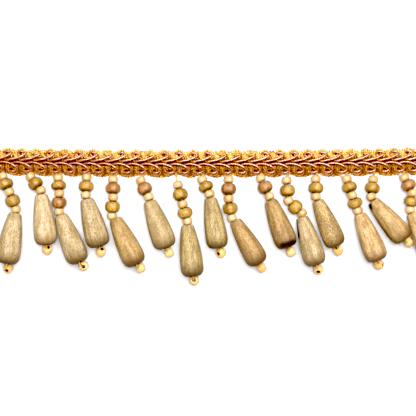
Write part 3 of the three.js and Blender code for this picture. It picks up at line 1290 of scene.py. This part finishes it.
@dataclass
class BeadString:
    """One string of beads, with the places that the photo shows.

    shift, fall: where its first small bead lies, right of its place on the heading and below the
    middle line. steps, leans: from one small bead to the next, and how far that leans to the right
    of straight down. stains: of the large bead on each step. aside, lean: the pendant's axis,
    right of the last small bead, and how it leans. length, radius: the pendant's own size. beyond,
    over: where the stop bead lies, past the pendant's end and right of its axis. hole: which way
    the stop bead's bore faces, as degrees round from +X and up from the surface. stray: whether
    an end of thread slants to it from the heading's edge. drop_marks: the dark marks on the
    pendant, most of them painted shade along a flank.
    """

    number: int
    shift: float
    fall: float
    steps: tuple[float, ...]
    leans: tuple[float, ...]
    stains: tuple[Stain, ...]
    aside: float
    lean: float
    length: float
    radius: float
    beyond: float
    over: float
    tone: DropTone
    hole: Pair
    stray: bool = False
    drop_marks: tuple[DarkMark, ...] = ()

    def __post_init__(self) -> None:
        """Works out the string's turning points, from its root to its stop bead."""
        place = string_place(self.number - 1)
        root_x = place + self.shift * SIZES.root_shift
        self.root = on_braid(root_x, -SIZES.notch_edge, SIZES.root_height)
        self.smalls = [on_braid(place + self.shift, -self.fall, SIZES.small_heights[0])]
        for step, lean, height in zip(self.steps, self.leans, SIZES.small_heights[1:]):
            after = self.smalls[-1] + leaning(lean) * step
            self.smalls.append(Vector((after.x, after.y, height)))
        last = self.smalls[-1]
        plan = leaning(self.lean)
        to_right = UP.cross(plan)
        climb = self.resting_climb(last.z)
        self.axis = plan * math.cos(climb) + UP * math.sin(climb)
        self.top = last + self.axis * SIZES.pendant_to_small + to_right * self.aside
        self.mouth = self.top + self.axis * self.length
        self.stop = self.mouth + plan * self.beyond + to_right * self.over
        self.stop.z = SIZES.stop_radius

    def resting_climb(self, start_height: float) -> float:
        """Gives how steeply the pendant's axis climbs, for it to rest on the surface.

        Args:
            start_height: The height of the last small bead, where the axis starts.

        Returns:
            The angle, below zero where the axis falls.
        """
        climbs = []
        for share, along in SIZES.drop_outline:
            radius, reach = share * self.radius, SIZES.pendant_to_small + along * self.length
            fall = min(1.0, start_height / math.hypot(radius, reach))
            climbs.append(math.atan2(radius, reach) - math.asin(fall))
        return max(climbs)

    def thread(self) -> BMesh:
        """Runs the thread from its root through every bead.

        Returns:
            Its mesh, with its stitch and its stray ends.
        """
        past = self.mouth + self.axis * SIZES.bend_past_pendant
        inside = self.root + Vector((0.0, 1.0, -0.35))
        knots = [inside, self.root, *self.smalls, self.top, self.mouth, past, self.stop]
        line = smooth_path(knots, 0.35)
        stitch = []
        steps, steps_in_turn, reach, advance = 34, 11, 0.42, 0.026
        for step in range(steps):
            angle = math.tau * step / steps_in_turn
            swing = Vector((math.cos(angle) * reach, 0.0, math.sin(angle) * reach))
            stitch.append(self.root + swing + Vector((0.0, 0.1 - step * advance, 0.05)))
        fine = [stitch]
        if self.stray:
            held = self.smalls[0] + Vector((-1.9, 0.2, 0.3))
            for across, sag in ((-3.3, -0.15), (-2.7, 0.2)):
                edge = self.smalls[0] + Vector((across, 2.1, -1.6))
                middle = edge.lerp(held, 0.5) + Vector((0.0, sag, 0.2))
                fine.append(smooth_path([edge, middle, held], 0.3))
        thread = spun_yarn([line], SIZES.thread_radius, resolution=2)
        return joined([thread, spun_yarn(fine, SIZES.stray_radius, resolution=1)])

    def small_beads(self) -> BMesh:
        """Turns the small beads and puts each on the thread.

        Returns:
            One mesh with them all.
        """
        beads = []
        for number, place in enumerate(self.smalls):
            last = number + 1 == len(self.smalls)
            after = self.axis if last else (self.smalls[number + 1] - place).normalized()
            before = (place - self.smalls[number - 1]).normalized() if number else after
            direction = (before + after).normalized()
            half, seed = SIZES.small_half_height, 1000 * self.number + number
            bead = small_bead(SIZES.small_radius, half, SIZES.bore_radius, seed)
            beads.append(place_along(bead, place - direction * half, direction))
        return joined(beads)

    def stop_bead(self) -> BMesh:
        """Turns the stop bead, with its bore the way the photo shows it.

        Returns:
            Its mesh, resting on the surface.
        """
        round_from_x, up = [math.radians(angle) for angle in self.hole]
        plan = Vector((math.cos(round_from_x), math.sin(round_from_x), 0.0))
        direction = plan * math.cos(up) + UP * math.sin(up)
        half, seed = SIZES.stop_half_height, 1000 * self.number + 90
        bead = small_bead(SIZES.stop_radius, half, SIZES.stop_bore_radius, seed)
        place_along(bead, self.stop - direction * half, direction)
        set_on_surface(bead, may_sink=True)
        return bead

    def scorch(self, drop: BMesh) -> None:
        """Marks the dark places on the pendant, mostly painted shade, for its finish to read.

        Args:
            drop: The pendant's mesh, in its place.
        """
        depth = drop.verts.layers.float.new("scorch")
        to_right = UP.cross(leaning(self.lean))
        for mark in self.drop_marks:
            start, end = Vector(mark.start), Vector(mark.end)
            for corner in drop.verts:
                from_top = corner.co - self.top
                place = Vector((from_top.dot(self.axis), from_top.dot(to_right)))
                share = min(1.0, max(0.0, intersect_point_line(place, start, end)[1]))
                away = (place - start.lerp(end, share)).length
                corner[depth] = max(corner[depth], mark.depth * (1 - away / mark.reach))

    def build(self, bench: Workbench) -> None:
        """Makes the string's pieces.

        Args:
            bench: Finishes them.
        """
        name = f"string_{self.number:02d}"
        bench.finish(name + "_thread", self.thread(), BEAD_THREAD, "gold_yarn")
        beads, node = self.small_beads(), name + "_thread_and_small_beads"
        bench.finish(name + "_small_beads", beads, Stain.NATURAL.value, "natural_wood", (node,))
        bench.finish(name + "_stop_bead", self.stop_bead(), Stain.WARM.value, "natural_wood")
        for number, stain in enumerate(self.stains):
            start, end = self.smalls[number], self.smalls[number + 1]
            direction = (end - start).normalized()
            length = min((end - start).length - 2 * SIZES.large_to_small, SIZES.large_length)
            bead = large_bead(length, 1000 * self.number + 50 + number)
            place_along(bead, (start + end) / 2 - direction * length / 2, direction)
            set_on_surface(bead, may_sink=False)
            piece, node = [f"{name}_{kind}_bead_{number + 1}" for kind in ("turned", "large")]
            bench.finish(piece, bead, stain.value, stain.name.lower() + "_wood", (node,))
        drop = pendant(self.length, self.radius, 1000 * self.number + 70)
        place_along(drop, self.top, self.axis)
        self.scorch(drop)
        bench.finish(name + "_drop", drop, self.tone.value, "pendant_wood", (name + "_pendant",))


OLIVE, HONEY, ROSE = Stain.OLIVE, Stain.HONEY, Stain.ROSE
# A dark mark across one pendant's lower end, and painted shade along the left flank or edge of two
# others.
DARK_END_MARK = (DarkMark((20.5, -2.2), (20.7, 3.0), 3.0, 1.0),)
PAINTED_FLANK_SHADE = (
    DarkMark((0.0, -2.6), (1.8, -3.3), 2.4, 1.2),
    DarkMark((2.0, -4.1), (17.5, -5.2), 4.6, 0.6),
)
PAINTED_EDGE_SHADE = (DarkMark((0.5, -3.1), (9.0, -4.3), 1.5, 1.0),)
# Each string's values stand in the order of the class's fields.
STRINGS = [
    BeadString(1, 0.0, 7.1, (7.5, 8.2), (26, 19), (OLIVE, OLIVE), -0.1, -7.4, 22.5, 5.25, 2.1, 0.0,
               DropTone.TAN, (250, 50)),
    BeadString(2, -0.3, 6.9, (7.7,), (38,), (OLIVE,), 0.0, 6.4, 22.2, 5.0, 2.15, -0.3,
               DropTone.LIGHT, (60, 50)),
    BeadString(3, -0.8, 7.2, (6.9, 8.0), (6, -2), (HONEY, ROSE), 0.1, 22.5, 22.6, 5.1, 2.1, 0.7,
               DropTone.TAN, (-60, 80), True),
    BeadString(4, -0.9, 6.9, (7.8,), (-2,), (HONEY,), 0.0, 15.4, 21.6, 5.3, 2.4, -0.3,
               DropTone.TAN, (65, 40)),
    BeadString(5, -1.9, 7.6, (7.9, 8.2), (1, -4), (ROSE, HONEY), 0.7, 25.7, 22.5, 5.2, 2.1, 0.7,
               DropTone.GOLDEN, (25, 4)),
    BeadString(6, -2.4, 8.0, (8.1,), (27,), (ROSE,), -0.3, 20.0, 21.9, 5.2, 2.2, 0.2,
               DropTone.GREYISH, (20, -4)),
    BeadString(7, 1.4, 9.8, (8.8, 7.8), (14, 15), (OLIVE, HONEY), -0.2, 6.6, 22.7, 5.1, 2.1, 0.2,
               DropTone.OLIVE, (100, 84)),
    BeadString(8, -0.6, 7.5, (7.1,), (28,), (OLIVE,), 0.0, 8.8, 22.3, 4.85, 2.2, 1.0,
               DropTone.OLIVE, (200, 45)),
    BeadString(9, -1.6, 7.4, (8.5, 8.6), (0, 10), (ROSE, OLIVE), 0.5, 29.5, 21.8, 4.9, 2.1, 0.1,
               DropTone.BROWN, (30, 5)),
    BeadString(10, -0.1, 6.9, (8.9,), (25,), (ROSE,), -0.3, 20.8, 22.0, 5.05, 2.3, 0.5,
               DropTone.BROWN, (20, -3), drop_marks=DARK_END_MARK),
    BeadString(11, -1.3, 8.0, (9.0, 8.2), (4, 49), (OLIVE, HONEY), -0.6, 16.0, 22.0, 5.0, 2.2, 0.6,
               DropTone.TAN, (265, 50), drop_marks=PAINTED_EDGE_SHADE),
    BeadString(12, -1.1, 7.6, (7.8,), (-1,), (HONEY,), 0.0, 22.8, 21.6, 4.8, 2.1, 0.0,
               DropTone.CHALKY, (115, 42)),
    BeadString(13, -0.1, 7.7, (7.5, 7.3), (16, 23), (OLIVE, HONEY), 0.0, 21.0, 21.9, 5.05, 2.1, 0.1,
               DropTone.WARM, (-5, 28), True),
    BeadString(14, -1.1, 8.1, (7.7,), (-8,), (OLIVE,), -0.8, 39.6, 22.0, 5.0, 2.15, 0.9,
               DropTone.GOLDEN, (40, 3), drop_marks=PAINTED_FLANK_SHADE),
    BeadString(15, 0.0, 7.5, (7.6, 7.4), (26, -7), (ROSE, OLIVE), 0.1, 23.5, 22.3, 5.0, 2.1, 0.0,
               DropTone.WARM, (60, 25), True),
]


@dataclass
class Studio:
    """The pale floor, the soft lights and the camera.

    black_level: what the view takes for black, so that shadows look as full as in the photo.
    """

    lens: float = 100.0
    sensor: float = 36.0
    aim: Pair = (1.99, -20.0)
    height: float = 513.5
    floor_tone: str = "c8c8c8"
    floor_drop: float = 0.04
    softbox_aim: tuple[float, float, float] = (0.0, -0.02, 0.0)
    sky_strength: float = 0.02
    black_level: float = 0.05

    def floor(self) -> None:
        """Lays a plain pale floor just under the trim."""
        shape = bmesh.new()
        bmesh.ops.create_grid(shape, x_segments=1, y_segments=1, size=3.0)
        bmesh.ops.translate(shape, vec=(0.0, 0.0, -self.floor_drop * MM), verts=shape.verts[:])
        mesh = bpy.data.meshes.new("studio_floor")
        shape.to_mesh(mesh)
        shape.free()
        made = new_material("Matt white card")
        plugs = {"Base Color": linear(self.floor_tone), "Roughness": 0.9, "Specular IOR Level": 0.1}
        shader = add_node(made.node_tree, "BsdfPrincipled", plugs=plugs)
        plugs = {"Surface": shader.outputs[0]}
        add_node(made.node_tree, "OutputMaterial", plugs=plugs)
        mesh.materials.append(made)
        card = bpy.data.objects.new("studio_floor", mesh)
        bpy.context.scene.collection.objects.link(card)

    def light(self, name: str, place: tuple[float, float, float], size: float, power: float) -> None:
        """Hangs a soft light that faces the trim.

        Args:
            name: The light's name.
            place: Where it hangs, in metres.
            size: Its side, in metres.
            power: Its power, in watts.
        """
        lamp = bpy.data.lights.new(name, "AREA")
        lamp.size = size
        lamp.energy = power
        hung = bpy.data.objects.new(name, lamp)
        hung.location = place
        aim = Vector(self.softbox_aim) - Vector(place)
        hung.rotation_euler = aim.to_track_quat("-Z", "Y").to_euler()
        bpy.context.scene.collection.objects.link(hung)

    def sky(self) -> None:
        """Gives an even light from all round."""
        world = bpy.data.worlds.new("studio_sky")
        world.use_nodes = True
        world.node_tree.nodes.clear()
        plugs = {"Color": (1.0, 1.0, 1.0, 1.0), "Strength": self.sky_strength}
        glow = add_node(world.node_tree, "Background", plugs=plugs)
        add_node(world.node_tree, "OutputWorld", plugs={"Surface": glow.outputs[0]})
        bpy.context.scene.world = world

    def camera(self) -> None:
        """Sets the camera straight above the trim, as the photo was taken."""
        lens = bpy.data.cameras.new("photo_camera")
        lens.lens = self.lens
        lens.sensor_width = self.sensor
        lens.sensor_fit = "HORIZONTAL"
        stand = bpy.data.objects.new("photo_camera", lens)
        stand.location = (self.aim[0] * MM, self.aim[1] * MM, self.height * MM)
        bpy.context.scene.collection.objects.link(stand)
        bpy.context.scene.camera = stand

    def build(self) -> None:
        """Sets up the whole studio."""
        self.floor()
        self.light("left_softbox", place=(-0.2, 0.26, 0.68), size=0.4, power=4.7)
        self.light("right_softbox", place=(0.26, 0.24, 0.64), size=0.4, power=6.3)
        self.light("top_softbox", place=(0.03, -0.02, 0.9), size=0.35, power=8.7)
        self.sky()
        self.camera()
        view = bpy.context.scene.view_settings
        view.view_transform = "Standard"
        view.use_curve_mapping = True
        view.curve_mapping.black_level = (self.black_level,) * 3
        view.curve_mapping.update()


def main() -> None:
    """Builds the studio and the dressed trim."""
    Studio().build()
    bench = Workbench()
    notches = [string_place(row.number - 1) + row.shift * SIZES.notch_shift for row in STRINGS]
    BraidGround(notches=notches).build(bench)
    UPPER_ROW.build(bench)
    LOWER_ROW.build(bench)
    for row in STRINGS:
        row.build(bench)


if __name__ == "__main__":
    main()
